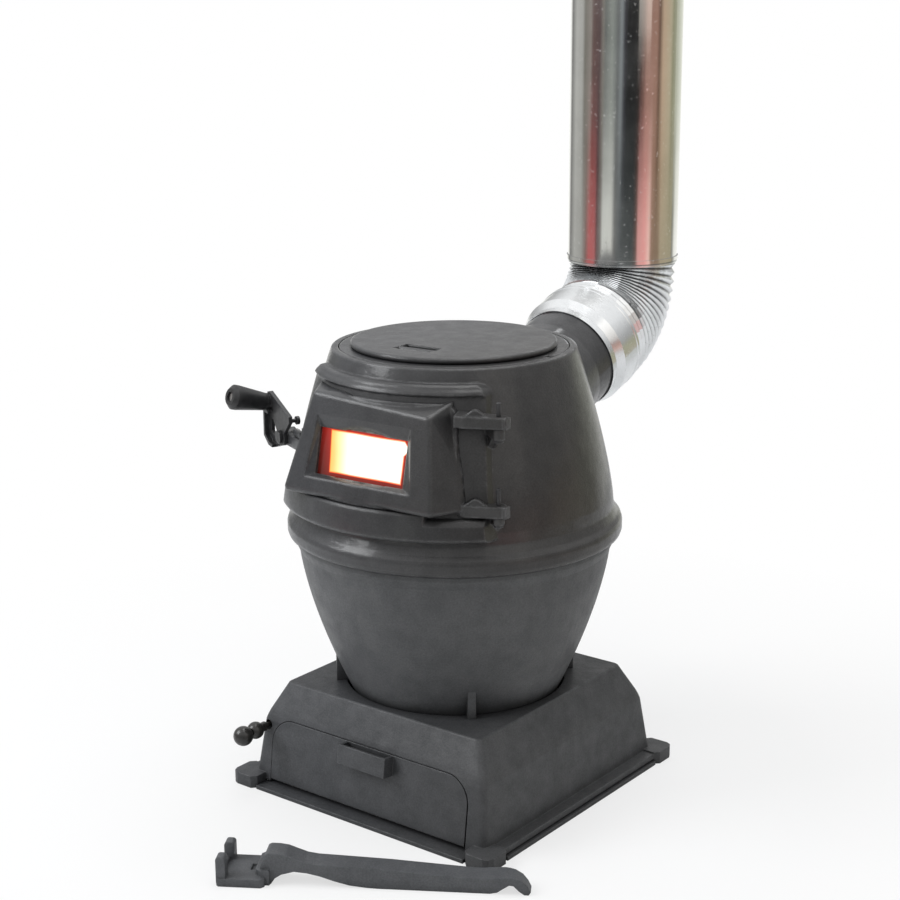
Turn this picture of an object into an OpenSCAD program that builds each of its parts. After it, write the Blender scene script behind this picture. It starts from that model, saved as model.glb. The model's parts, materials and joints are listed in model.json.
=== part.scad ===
// Potbelly wood stove on a square ash housing.
// Loading door with a window, lift-off hotplate, shaking grate, ash drawer,
// cast flue neck with a pleated elbow and a straight stovepipe, and a lifter tool.
// Units are millimetres, the floor is z = 0 and the front looks along -Y.

/* [View] */
// Sub-part to draw

/* [Ash housing] */
// Half width of the housing at the flange
housing_half = 150; // [110:1:190]
// Distance of the crease inside the foot of the wall
crease_in = 7.6; // [2:0.1:15]
// Half width of the flat top
top_half = 125.2; // [90:0.1:170]
// Height of the flange's upper face
flange_z = 11.5; // [8:0.5:30]
// Height of the crease
crease_z = 74.6; // [50:0.1:100]
// Height of the flat top
housing_top_z = 109.2; // [80:0.1:150]
// Wall of the castings in the base
base_wall = 6; // [4:0.5:10]
// Rounding of the upright corners
corner_r = 7; // [2:0.5:20]
// Radius of the hole in the top
throat_r = 114.6; // [90:0.1:120]
// Reach of the side flange beyond the wall
flange_reach = 13; // [6:0.5:20]
// Thickness of the flange
flange_t = 6; // [3:0.5:12]
// Reach of the corner lugs beyond the wall
lug_reach = 18; // [10:1:30]
// Length of the corner lugs along the side
lug_len = 32; // [24:1:50]
// Height of the corner lugs
lug_h = 13; // [10:0.5:20]

/* [Bottom plate] */
// Reach of the plate beyond the wall
plate_reach = 16; // [5:1:25]
// Underside of the plate above the floor
plate_z = 0; // [0:0.5:5]
// Thickness of the plate
plate_t = 4; // [2:0.5:8]
// Distance of the plate screws inside the foot of the wall
screw_in = 14; // [12:1:30]
// Front and back place of the plate screws
screw_y = 95; // [50:1:120]
// Radius of the plate screws
screw_r = 3; // [2:0.25:5]

/* [Ash drawer] */
// Distance of the drawer front's left edge inside the foot of the wall
front_in_left = 21.5; // [18:0.5:60]
// Distance of the drawer front's right edge inside the foot of the wall
front_in_right = 25; // [18:0.5:60]
// Lower edge of the drawer front
front_low = 8; // [6:0.5:20]
// Rounding of the upper corners
front_round = 26; // [5:1:30]
// Gap round the drawer front
front_gap = 0.5; // [0.4:0.1:3]
// Extra gap at the drawer front's right edge
side_gap = 1.2; // [0:0.1:3]
// Width of the cup handle
pull_w = 60.6; // [40:0.2:120]
// Height of the cup handle
pull_h = 20; // [15:1:40]
// Reach of the cup handle
pull_d = 13.5; // [8:0.5:30]
// Sheet of the cup handle
pull_t = 3; // [2:0.5:6]
// Middle of the cup handle across the front
pull_x = 1.7; // [-40:0.1:40]
// Lower edge of the cup handle along the front
pull_low = 42.8; // [20:0.1:60]
// Half width of the ash pan
pan_half = 108; // [70:1:120]
// Height of the pan's rim above the floor
pan_top = 61; // [40:1:70]
// Sheet of the ash pan
pan_t = 1.6; // [1:0.1:3]
// Back wall of the ash pan
pan_back = 126; // [80:1:135]
// Height the pan runs above the plate
run_gap = 0.3; // [0.1:0.1:1]

/* [Fire pot] */
// Radius where the pot meets the belt
pot_top_r = 161; // [120:0.5:200]
// Radius at the neck
pot_neck_r = 106; // [80:0.5:140]
// Height of the neck's end
pot_neck_z = 96; // [85:1:110]
// Height where the curve reaches its full radius
pot_full_z = 270; // [200:1:320]
// Roundness of the pot's curve
pot_power = 1.55; // [1.1:0.05:2.5]
// Wall of the fire pot
pot_wall = 7.5; // [5:0.5:12]
// Height of the grate ledge
ledge_z = 112; // [100:1:130]
// Inner radius of the grate ledge
ledge_r = 86; // [60:1:95]
// Outer radius of the diagonal fins
fin_r = 125; // [118:1:150]
// Thickness of the fins
fin_t = 8; // [6:1:20]
// Height where the fins run out
fin_top_z = 148; // [130:1:180]
// Height of the pot's rim
rim_z = 269; // [240:1:300]
// Outer radius of the pot's rim
rim_r = 163.5; // [140:0.5:200]

/* [Grate] */
// Radius of the grate
grate_r = 98; // [70:1:104]
// Thickness of the grate
grate_t = 9; // [6:1:14]
// Width of the slots
slot_w = 8; // [5:0.5:12]
// Spacing of the slots
slot_pitch = 17; // [12:0.5:25]
// Height of the shaking arm's underside
arm_z = 78; // [70:1:90]
// Thickness of the shaking arm
arm_t = 6; // [4:0.5:10]

/* [Shaker] */
// Travel of the shaker rod
shake_throw = 24; // [8:1:40]
// Distance of the rod inside the foot of the wall
rod_in = 14; // [12:0.5:30]
// Height of the rod
rod_z = 64.5; // [50:0.5:90]
// Radius of the rod
rod_r = 2.6; // [2:0.1:5]
// Distance of the driving pin from the rod
drive_in = 22; // [16:0.5:40]
// Radius of the driving pin
drive_r = 4; // [2:0.25:6]
// Radius of the outer ball
ball_r = 10.3; // [6:0.1:15]
// Distance of the outer ball in front of the wall
ball_out = 31; // [22:0.5:60]
// Radius of the inner ball
collar_r = 9; // [6:0.1:15]
// Distance of the inner ball in front of the wall
collar_out = 13; // [8:0.5:40]

/* [Drum] */
// Turn of the drum on the base
drum_turn = 3; // [-10:0.5:10]
// Height of the belt's underside
belt_z = 270; // [240:1:300]
// Radius of the belt
belt_r = 171.4; // [150:0.1:210]
// Radius of the drum just above the belt
drum_low_r = 162.6; // [120:0.1:200]
// Radius of the drum at the top rim
drum_top_r = 123.2; // [90:0.1:160]
// Height where the drum's curve starts
drum_low_z = 300; // [270:1:340]
// Height of the top rim
drum_top_z = 461; // [400:1:520]
// Roundness of the drum's curve
drum_power = 1.35; // [1.05:0.05:2.5]
// Wall of the drum
drum_wall = 7; // [5:0.5:12]

/* [Hotplate] */
// Radius of the recess that takes the cover ring
recess_r = 116.2; // [90:0.1:120]
// Depth of the recess
recess_d = 8; // [5:0.5:15]
// Inner radius of the ledge under the ring
cover_ledge_r = 100; // [80:1:110]
// Gap round the cover ring
cover_gap = 0.8; // [0.4:0.1:2]
// Radius of the hole in the cover ring
cover_hole_r = 80; // [50:1:95]
// Radius of the centre lid
lid_r = 104; // [60:1:110]
// Thickness of the lid's rim
lid_t = 6; // [4:0.5:10]

/* [Door surround] */
// Height the surround stands off the drum
pad_proud = 7; // [3:0.5:10]
// Lower edge of the surround
pad_low = 305; // [295:1:320]
// Upper edge of the surround
pad_high = 448; // [420:1:455]
// Rounding of the surround's upper corners
pad_round = 13; // [5:1:30]
// Height the sill under the door stands off the drum
sill_proud = 14; // [5:0.5:16]
// Height the brow over the door stands off the drum
brow_proud = 9.5; // [5:0.5:12]
// Half width of the surround at its lower edge
pad_half_low = 122.5; // [90:1:130]
// Half width of the surround at its upper edge
pad_half_high = 99; // [70:1:110]
// Lower edge of the fire opening
mouth_low = 343; // [320:1:370]
// Upper edge of the fire opening
mouth_high = 418; // [380:1:430]
// Half width of the fire opening at its lower edge
mouth_half_low = 80; // [40:1:90]
// Half width of the fire opening at its upper edge
mouth_half_high = 68; // [40:1:80]

/* [Door] */
// Height the door plate stands off the drum
leaf_proud = 11; // [8:0.1:16]
// Gap between the door plate and the surround
leaf_gap = 0.4; // [0.3:0.1:2]
// Lower edge of the door plate
leaf_low = 334; // [310:1:360]
// Upper edge of the door plate
leaf_high = 432; // [400:1:450]
// Half width of the door plate at its lower edge
leaf_half_low = 99; // [70:1:110]
// Half width of the door plate at its upper edge
leaf_half_high = 83; // [60:1:100]
// Lean of the window face
face_lean = 13; // [0:0.5:20]
// Distance of the window face from the axis at its middle
face_y = 158.5; // [150:0.5:175]
// Height of the window face's middle
face_z = 378; // [350:1:400]
// Half width of the window box at its upper edge
box_half_high = 66; // [50:1:80]
// Half width of the window box at its lower edge
box_half_low = 84; // [60:1:95]
// Upper edge of the window box
box_high = 426; // [400:1:440]
// Sideways spread of the window box per depth
box_flare = 0.45; // [0.2:0.01:0.7]
// Extra width of the box's front at the lower left
box_left = 3.5; // [0:0.5:8]
// Extra width of the box's front at the lower right
box_right_low = 5; // [0:0.5:8]
// Extra width of the box's front at the upper right
box_right_high = 9.5; // [0:0.5:12]
// Rise of the box's front at the upper left
box_rise = 8; // [0:0.5:9]
// Rounding of the window box's front
box_soft = 5; // [2:0.5:8]
// Depth to which the window box reaches, from the drum's axis
box_back = 112; // [100:1:125]
// Thickness of the window face
face_t = 9; // [6:0.5:14]
// Half width of the glass opening
sight_half = 52; // [30:0.5:60]
// Sideways place of the window
sight_x = -2.5; // [-10:0.5:10]
// Half height of the glass opening
sight_tall = 22.6; // [15:0.1:35]

/* [Window] */
// Half width of the glass
glass_half = 57; // [40:0.5:62]
// Half height of the glass
glass_tall = 26; // [20:0.5:34]
// Thickness of the glass
glass_t = 4; // [3:0.5:6]
// Thickness of the window seal
seal_t = 1.5; // [1:0.1:3]
// Thickness of the retaining frame
frame_t = 2; // [1:0.1:4]

/* [Hinge] */
// Distance of the hinge pins from the drum's axis
hinge_r = 172; // [165:0.5:185]
// Bearing of the hinge pins from the front
hinge_turn = 48.3; // [40:0.1:60]
// Radius of the hinge pins
pin_r = 2.2; // [1.5:0.1:5]
// Running gap between pin and arm
pin_gap = 0.08; // [0.02:0.01:0.1]
// Radius of the hinge eyes
eye_r = 7.5; // [5:0.5:12]
// Underside of the upper arm
arm_high_z = 415; // [395:1:425]
// Underside of the lower arm
arm_low_z = 330; // [310:1:345]
// Height of the arms at the pins
hinge_arm_h = 11; // [8:1:20]
// Radius of the drum's hinge lugs
lug_r = 5.8; // [4:0.1:8]
// Opening angle of the door
door_swing = 110; // [60:5:120]

/* [Latch] */
// Turn of the latch's face from the front
latch_turn = 28; // [0:1:45]
// Height of the latch pivot
latch_z = 371.6; // [350:0.1:400]
// Radius of the latch bolt
bolt_r = 4; // [2.5:0.25:6]
// Thickness of the lever
lever_t = 4; // [2:0.5:8]
// Angle that the lever swings to lock
latch_swing = 18; // [10:1:30]
// Length of the grip
grip_l = 40; // [25:1:70]
// Radius of the grip's outer end
grip_r = 12.6; // [8:0.1:18]
// Radius of the grip's foot
grip_foot_r = 9; // [6:0.5:14]
// Tilt of the grip
grip_tilt = 15; // [0:1:40]
// Sideways turn of the grip towards the front
grip_yaw = 8.4; // [0:0.1:30]

/* [Flue] */
// Rise of the flue neck
flue_rise = 18; // [0:1:30]
// Distance of the neck's end from the axis
flue_y = 240.4; // [200:0.1:260]
// Height of the neck's end
flue_z = 415; // [390:0.1:430]
// Outer radius of the neck
flue_r = 57.8; // [40:0.1:80]
// Wall of the neck
flue_wall = 6; // [4:0.5:10]
// Outer radius of the elbow's cuff
cuff_r = 65; // [50:0.5:90]
// Length of cuff beyond the neck
cuff_l = 26; // [15:1:90]
// Length of cuff slipped over the neck
sleeve = 22; // [15:1:40]
// Straight run of pleats before the bend
pleat_run = 22.8; // [10:0.1:60]
// Distance of the stovepipe from the axis
pipe_y = 342; // [280:1:420]
// Outer radius of the stovepipe
pipe_r = 62.5; // [40:0.5:90]
// Sheet of the stovepipe
pipe_t = 1; // [0.6:0.1:2]
// Upper end of the stovepipe
pipe_top = 830; // [700:10:1500]
// Number of pleats in the elbow
pleats = 16; // [8:1:20]
// Depth of the pleats
pleat_d = 4.5; // [1:0.5:8]

/* [Lifter] */
// Bearing of the lifter on the floor
lifter_turn = 32; // [-90:1:90]
// Place of the lifter's left end, sideways
lifter_x = -25.3; // [-200:0.1:200]
// Distance of the lifter's left end in front of the wall
lifter_out = 182; // [90:1:350]
// Width of the lifter's bar
lifter_w = 22; // [12:1:40]
// Length of the lifter
lifter_l = 292; // [220:1:360]
// Width of the lifter's fork
fork_w = 49; // [40:1:70]

/* [Hidden] */
seam = 0.04;
stem_r = 5;
stem_l = 14;
eps = 0.01;
fine = 96;
iron = [0.20, 0.21, 0.22];
black = [0.08, 0.08, 0.08];
zinc = [0.78, 0.80, 0.82];
steel = [0.70, 0.72, 0.74];
crease_half = housing_half - crease_in;
lug_half = housing_half + lug_reach;
lug_inner = lug_half - lug_len;
plate_half = housing_half + plate_reach;
screw_x = housing_half - screw_in;
front_left = front_in_left - housing_half;
front_right = housing_half - front_in_right;
rod_x = rod_in - housing_half;
drive_x = rod_x + drive_in;
ball_y = -housing_half - ball_out;
collar_y = -housing_half - collar_out;
collar_cut = ball_out - collar_out - ball_r - 0.1;
lifter_y = -housing_half - lifter_out;
wall_lean = atan((housing_half - crease_half) / (crease_z - flange_z));
plate_top = plate_z + plate_t;
face_low = -(face_z - leaf_low - 1.2) / cos(face_lean);
face_high = (box_high - face_z) / cos(face_lean);
glass_y = face_t + seal_t;
frame_y = glass_y + glass_t;
hinge_x = hinge_r * sin(hinge_turn);
hinge_y = -hinge_r * cos(hinge_turn);
drive_y = shake_throw / 2;
bend_alpha = 90 - flue_rise;
bend_y0 = flue_y + (cuff_l + pleat_run) * cos(flue_rise);
bend_z0 = flue_z + (cuff_l + pleat_run) * sin(flue_rise);
bend_r = (pipe_y - bend_y0) / (1 - sin(flue_rise));
bend_cy = pipe_y - bend_r;
bend_cz = bend_z0 + bend_r * cos(flue_rise);
tube_r = pipe_r - 5.5;
tube_start_r = cuff_r - 4;
run_rings = 6;
shoulder_z = bend_cz + 1;

// Outer radius of the fire pot at a height
function pot_r(z) = pot_top_r
  - (pot_top_r - pot_neck_r) * pow(max(0, pot_full_z - z) / (pot_full_z - pot_neck_z), pot_power);

// Outer radius of the drum at a height
function drum_r(z) = drum_low_r
  - (drum_low_r - drum_top_r) * pow(max(0, z - drum_low_z) / (drum_top_z - drum_low_z), drum_power);

// Square with rounded corners, by its half width
module soft_square(half, r) {
  translate([-half, -half + r]) square([2 * half, 2 * half - 2 * r]);
  translate([-half + r, -half]) square([2 * half - 2 * r, 2 * half]);
  for (sx = [-1, 1], sy = [-1, 1])
    translate([sx * (half - r), sy * (half - r)]) circle(r = r);
}

// Thin slice of the housing's outline, shrunk by a wall
module housing_slice(z, half, r) {
  translate([0, 0, z]) linear_extrude(eps) soft_square(half, r, $fn = 24);
}

// Upright outline with slanted sides and rounded upper corners, drawn along -Y
module arched(low, high, half_low, half_high, r, depth = 260) {
  slant = (half_low - half_high) / (high - low);
  rotate([90, 0, 0]) linear_extrude(depth) {
    polygon([
      [-half_low, low], [half_low, low],
      [half_high + slant * r, high - r], [half_high - r, high],
      [-half_high + r, high], [-half_high - slant * r, high - r]
    ]);
    for (s = [-1, 1]) translate([s * (half_high + slant * r - r), high - r]) circle(r = r, $fn = 48);
  }
}

// Half width of the window box at its back, at a height
function flank_x(z) = box_half_low - (box_half_low - box_half_high) * (z - leaf_low) / (box_high - leaf_low)
  + box_flare * (face_y - (z - face_z) * tan(face_lean) - box_back);

// Solid of the drum's outside, grown by a distance
module drum_solid(grow, z0, z1) {
  rotate_extrude($fn = fine) polygon(concat(
    [[0, z1], [0, z0]],
    [for (i = [0 : 12]) let (z = z0 + (z1 - z0) * i / 12) [drum_r(z) + grow, z]]
  ));
}

// Band round the drum with rounded rims
module soft_band(grow, z0, z1, soft) {
  rotate_extrude($fn = fine) polygon(concat(
    [[0, z1], [0, z0]],
    [for (a = [90 : -22.5 : 22.5]) [drum_r(z0) + grow - soft * (1 - cos(a)), z0 + soft * (1 - sin(a))]],
    [for (i = [0 : 4]) let (z = z0 + soft + (z1 - z0 - 2 * soft) * i / 4) [drum_r(z) + grow, z]],
    [for (a = [22.5 : 22.5 : 90]) [drum_r(z1) + grow - soft * (1 - cos(a)), z1 - soft * (1 - sin(a))]]
  ));
}

// Moves things into the plane of the housing's front wall
module on_front() {
  translate([0, -housing_half, flange_z]) rotate([-wall_lean, 0, 0]) children();
}

// Moves things into the plane of the window face
module on_face() {
  translate([0, -face_y, face_z]) rotate([-face_lean, 0, 0]) children();
}

// Moves things onto the middle of the window
module on_sight() {
  on_face() translate([sight_x, 0, 0]) children();
}

// Moves things onto the latch pivot, outwards is +Z
module on_latch() {
  translate([-hinge_x, hinge_y, latch_z]) rotate([0, 0, -latch_turn]) rotate([90, 0, 0]) children();
}

// Moves things onto the axis of the flue neck
module on_flue() {
  translate([0, flue_y, flue_z]) rotate([flue_rise - 90, 0, 0]) children();
}

module plate_screw_places() {
  for (sx = [-1, 1], sy = [-1, 1]) translate([sx * screw_x, sy * screw_y, 0]) children();
}

module bottom_plate() {
  color(iron) difference() {
    translate([0, 0, plate_z]) linear_extrude(plate_t) difference() {
      soft_square(plate_half, 3);
      for (q = [0 : 3]) rotate(90 * q) translate([lug_inner - 1, lug_inner - 1]) square(60);
    }
    plate_screw_places() {
      translate([0, 0, -1]) cylinder(r = screw_r + 0.1, h = 10, $fn = 32);
      translate([0, 0, plate_z - eps])
        cylinder(r1 = 2 * screw_r + 0.1, r2 = screw_r + 0.1, h = screw_r, $fn = 48);
    }
  }
}

module plate_screws() {
  color(steel) plate_screw_places() difference() {
    union() {
      translate([0, 0, plate_z + 0.3])
        cylinder(r1 = 2 * screw_r - 0.4, r2 = screw_r, h = screw_r - 0.4, $fn = 48);
      translate([0, 0, plate_z + 0.3]) cylinder(r = screw_r, h = 20, $fn = 32);
    }
    translate([-screw_r * 2.2, -0.6, plate_z - 1]) cube([screw_r * 4.4, 1.2, 2.4]);
  }
}

// Corner lug that carries the housing on the floor
module corner_lug() {
  linear_extrude(lug_h) polygon([
    [lug_inner, lug_inner + 12], [lug_inner, lug_half - 5], [lug_inner + 5, lug_half],
    [lug_half - 8, lug_half], [lug_half - 2.5, lug_half - 2.5], [lug_half, lug_half - 8],
    [lug_half, lug_inner + 5], [lug_half - 5, lug_inner], [lug_inner + 12, lug_inner]
  ]);
}

// Outline of the drawer front, grown by a gap
module front_outline(grow, extra = 0) {
  mid = (front_left + front_right + extra) / 2;
  half = (front_right - front_left + extra) / 2 + grow;
  translate([mid, 0, 0]) arched(
    front_low - grow - (grow > 0 ? 20 : 0), crease_z - 0.3 + grow, half, half, front_round + grow);
}

module ash_housing() {
  color(iron) difference() {
    union() {
      hull() {
        housing_slice(flange_z - flange_t, housing_half + 1, corner_r);
        housing_slice(crease_z - 5, crease_half + 0.6, corner_r);
        housing_slice(crease_z, crease_half - 1, corner_r);
        housing_slice(crease_z + 5, crease_half - 3, corner_r);
        housing_slice(housing_top_z - 1, top_half, corner_r - 1);
        housing_slice(housing_top_z - eps, top_half - 1.5, corner_r - 2);
      }
      translate([0, 0, flange_z - flange_t]) linear_extrude(flange_t) intersection() {
        soft_square(housing_half + flange_reach, 6);
        translate([-300, -housing_half]) square([600, 600]);
      }
      for (q = [0 : 3]) rotate(90 * q) corner_lug();
    }
    hull() {
      housing_slice(-1, housing_half - base_wall + 1, corner_r - 4);
      housing_slice(crease_z, crease_half - base_wall - 0.6, corner_r - 4);
      housing_slice(housing_top_z - base_wall, top_half - base_wall + 0.4, corner_r - 4);
    }
    translate([0, 0, housing_top_z - 20]) cylinder(r = throat_r, h = 40, $fn = fine);
    intersection() {
      front_outline(front_gap, side_gap);
      translate([-200, -200, -1]) cube([400, 70, 100]);
    }
    translate([rod_x, 20 - housing_half, rod_z]) rotate([90, 0, 0])
      cylinder(r = rod_r + 2.5, h = 40, $fn = 32);
    translate([rod_x, drive_y + 24, rod_z]) rotate([90, 0, 0])
      cylinder(r = rod_r + 0.9, h = housing_half + drive_y + 10, $fn = 32);
  }
  color(iron) plate_screw_places() difference() {
    union() {
      translate([0, 0, plate_top]) cylinder(r = 8.5, h = 20, $fn = 48);
    }
    cylinder(r = screw_r + 0.05, h = 22, $fn = 32);
  }
  color(iron) for (y = [-100, -42]) difference() {
    translate([rod_x - 4.6, y - 4, rod_z - 6]) cube([11, 8, 12]);
    translate([rod_x, y + 10, rod_z]) rotate([90, 0, 0]) cylinder(r = rod_r + 0.08, h = 20, $fn = 32);
  }
}

module drawer_front() {
  color(iron) difference() {
    union() {
      intersection() {
        front_outline(0);
        on_front() translate([-150, 0, -10]) cube([300, base_wall, 90]);
      }
      on_front() translate([pull_x - pull_w / 2, -pull_d, pull_low]) cube([pull_w, pull_d + 1, pull_h]);
    }
    on_front() translate([pull_x - pull_w / 2 + pull_t, pull_t - pull_d, pull_low + pull_t])
      cube([pull_w - 2 * pull_t, pull_d - pull_t + eps, pull_h]);
    rivet_places() rotate([-90, 0, 0]) translate([0, 0, 2.5]) cylinder(r = 2.55, h = 10, $fn = 32);
  }
}

module rivet_places() {
  on_front() for (x = [-70, 70], z = [8, 34]) translate([x, 0, z]) children();
}

// Side outline of the pan, inset by the sheet
module pan_profile(inset) {
  z0 = plate_top + run_gap + inset;
  z1 = pan_top + (inset > 0 ? 5 : 0);
  y0 = -housing_half + (base_wall + seam + inset) / cos(wall_lean);
  rotate([90, 0, 90]) translate([0, 0, -pan_half + inset]) linear_extrude(2 * (pan_half - inset)) polygon([
    [y0 + (z0 - flange_z) * tan(wall_lean), z0], [pan_back - inset, z0],
    [pan_back - inset, z1], [y0 + (z1 - flange_z) * tan(wall_lean), z1]
  ]);
}

module ash_pan() {
  color(zinc) difference() {
    pan_profile(0);
    pan_profile(pan_t);
    rivet_places() rotate([-90, 0, 0]) cylinder(r = 2.55, h = 20, $fn = 32);
  }
}

module pan_rivets() {
  color(steel) rivet_places() rotate([-90, 0, 0]) {
    translate([0, 0, 2.6]) cylinder(r = 2.5, h = base_wall + pan_t - 2, $fn = 32);
    translate([0, 0, base_wall + seam + pan_t]) cylinder(r1 = 4.6, r2 = 3.4, h = 1.8, $fn = 32);
  }
}

module fire_pot() {
  color(iron) difference() {
    union() {
      rotate_extrude($fn = fine) polygon(concat(
        [for (i = [0 : 16]) let (z = pot_neck_z + (rim_z - 14 - pot_neck_z) * i / 16) [pot_r(z), z]],
        [
          [rim_r - 1, rim_z - 8], [rim_r, rim_z - 5], [rim_r, rim_z], [rim_r - 18, rim_z],
          [rim_r - 18, rim_z - 9]
        ],
        [for (i = [0 : 14])
          let (z = rim_z - 20 - (rim_z - 20 - ledge_z) * i / 14) [pot_r(z) - pot_wall - 0.5, z]],
        [[ledge_r, ledge_z], [ledge_r, pot_neck_z]]
      ));
      for (q = [0 : 3]) rotate(45 + 90 * q) rotate([90, 0, 0]) translate([0, 0, -fin_t / 2])
        linear_extrude(fin_t) polygon([
          [pot_r(housing_top_z) - 4, housing_top_z], [fin_r, housing_top_z],
          [fin_r, pot_neck_z + 48], [pot_r(fin_top_z) - 1, fin_top_z], [pot_r(fin_top_z) - 4, fin_top_z]
        ]);
    }
    translate([0, 0, rim_z - 6]) rotate_extrude($fn = fine) translate([rim_r - 13, 0]) square([8, 10]);
  }
}

// Outline of the grate's slots
module grate_slots() {
  for (i = [-5 : 5]) let (x = slot_pitch * i, h = sqrt(max(0, pow(grate_r - 10, 2) - x * x)))
    if (h > 12) for (s = [-1, 1]) translate([x, s * (h / 2 + 3)]) {
      square([slot_w, h - 6 - slot_w], center = true);
      for (e = [-1, 1]) translate([0, e * (h - 6 - slot_w) / 2]) circle(r = slot_w / 2, $fn = 32);
    }
}

module grate() {
  arm_turn = atan2(drive_y, drive_x);
  arm_l = norm([drive_x, drive_y]);
  color(iron) {
    translate([0, 0, ledge_z + run_gap - 0.1]) linear_extrude(grate_t) difference() {
      circle(r = grate_r, $fn = fine);
      grate_slots();
    }
    translate([0, 0, arm_z]) cylinder(r = 13, h = ledge_z - arm_z + 2, $fn = 48);
    translate([0, 0, arm_z]) rotate(arm_turn) linear_extrude(arm_t) difference() {
      union() {
        translate([0, -8]) square([arm_l, 16]);
        translate([arm_l, 0]) circle(r = 9.5, $fn = 48);
      }
      translate([arm_l - 2, -drive_r - 0.4]) square([4, 2 * drive_r + 0.8]);
      for (e = [-2, 2]) translate([arm_l + e, 0]) circle(r = drive_r + 0.4, $fn = 32);
    }
  }
}

module shaker_rod() {
  color(steel) {
    translate([rod_x, drive_y + 14, rod_z]) rotate([90, 0, 0])
      cylinder(r = rod_r, h = drive_y + 14 - ball_y + 3, $fn = 32);
    translate([rod_x - 1, drive_y - 7, rod_z - 2]) cube([drive_x - rod_x + 7, 14, 5]);
    translate([drive_x, drive_y, rod_z]) cylinder(r = drive_r, h = arm_z + arm_t + 2 - rod_z, $fn = 32);
  }
}

module shaker_collar() {
  low = -acos(stem_r / collar_r);
  high = asin(collar_cut / collar_r);
  color(iron) translate([rod_x, collar_y, rod_z]) rotate([90, 0, 0]) rotate_extrude($fn = 64)
    polygon(concat(
      [[rod_r + 0.05, collar_cut], [rod_r + 0.05, -stem_l], [stem_r, -stem_l]],
      [for (i = [0 : 20]) let (a = low + (high - low) * i / 20) [collar_r * cos(a), collar_r * sin(a)]]
    ));
}

module shaker_knob() {
  color(iron) difference() {
    translate([rod_x, ball_y, rod_z]) sphere(r = ball_r, $fn = 48);
    translate([rod_x, ball_y + 20, rod_z]) rotate([90, 0, 0]) cylinder(r = rod_r + 0.05, h = 23.2, $fn = 32);
  }
}

module belt_seal() {
  color([0.75, 0.73, 0.68]) translate([0, 0, rim_z - 6]) rotate_extrude($fn = fine)
    translate([rim_r - 12.8, 0]) square([7.6, 3]);
}

// Bar from the drum's wall out to a hinge pin
module hinge_lug(z, h) {
  translate([0, 0, z]) linear_extrude(h) {
    translate([hinge_x, hinge_y]) circle(r = lug_r, $fn = 48);
    rotate(hinge_turn - 90) translate([hinge_r - 42, -lug_r]) square([42, 2 * lug_r]);
  }
}

// Web under a hinge lug
module lug_web(z, drop) {
  rotate(hinge_turn) rotate([0, 0, -90]) rotate([90, 0, 0]) translate([0, 0, -4]) linear_extrude(8)
    polygon([[hinge_r - 6, z + 1], [drum_r(z - drop) - 3, z - drop], [drum_r(z) - 5, z + 1]]);
}

module upper_body() {
  color(iron) rotate(drum_turn) difference() {
    union() {
      rotate_extrude($fn = fine) polygon(concat(
        [[rim_r - 19, belt_z], [belt_r - 4, belt_z], [belt_r - 1, belt_z + 2], [belt_r, belt_z + 5],
         [belt_r, belt_z + 13], [belt_r - 1.4, belt_z + 17], [belt_r - 5, belt_z + 21],
         [drum_low_r, belt_z + 29]],
        [for (i = [1 : 15]) let (z = drum_low_z + (drum_top_z - drum_low_z) * i / 15)
          [drum_r(z), min(z, drum_top_z - (i == 15 ? 1 : 0))]],
        [[drum_top_r - 1.2, drum_top_z], [0, drum_top_z], [0, drum_top_z - 20], [0, belt_z]]
      ));
      intersection() {
        union() {
          drum_solid(pad_proud, pad_low, pad_high - 2);
          soft_band(sill_proud, pad_low, arm_low_z - 2, 6);
          intersection() {
            soft_band(sill_proud, pad_low + 4, leaf_low - 0.8, 2);
            translate([-150, -200, 0]) cube([150 + hinge_x - 56, 200, 400]);
          }
          soft_band(brow_proud, leaf_high + 3.8, pad_high, 6);
        }
        arched(pad_low, pad_high, pad_half_low, pad_half_high, pad_round);
      }
      hinge_lug(arm_high_z - 11, 10.7);
      hinge_lug(arm_low_z - 7.3, 7);
      lug_web(arm_high_z - 11, 17);
      lug_web(arm_low_z - 7.3, 14);
      on_flue() translate([0, 0, -112]) cylinder(r = flue_r, h = 112, $fn = fine);
      on_flue() translate([0, 0, -112]) cylinder(r1 = flue_r + 12, r2 = flue_r, h = 62, $fn = fine);
      keeper();
    }
    rotate_extrude($fn = fine) polygon(concat(
      [[0, belt_z - 1], [rim_r - 18, belt_z - 1], [rim_r - 18, belt_z + 6]],
      [for (i = [0 : 12]) let (z = drum_low_z - 8 + (drum_top_z - 18 - drum_low_z + 8) * i / 12)
        [drum_r(z) - drum_wall, z]],
      [[cover_ledge_r + 8, drum_top_z - 17], [cover_ledge_r, drum_top_z - recess_d - 6],
       [cover_ledge_r, drum_top_z - recess_d], [recess_r, drum_top_z - recess_d],
       [recess_r, drum_top_z + 1], [0, drum_top_z + 1]]
    ));
    arched(mouth_low, mouth_high, mouth_half_low, mouth_half_high, 12);
    on_flue() translate([0, 0, -132]) cylinder(r = flue_r - flue_wall, h = 142, $fn = fine);
    for (z = [arm_high_z, arm_low_z]) translate([hinge_x, hinge_y, z - 14]) {
      cylinder(r = pin_r + 0.02, h = 20, $fn = 32);
    }
  }
  color(iron) rotate_extrude($fn = fine) polygon([
    [rim_r - 12.7, rim_z - 3], [rim_r - 5.3, rim_z - 3], [rim_r - 5.3, belt_z + 2], [rim_r - 12.7, belt_z + 2]
  ]);
}

// Hook on the surround that holds the latch stud
module keeper() {
  on_latch() difference() {
    translate([19, 4.6, -34]) cube([16, 6.6, 34 - 2.2]);
    translate([18, 8.2, -11]) cube([18, 10, 5.6]);
  }
}

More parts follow.
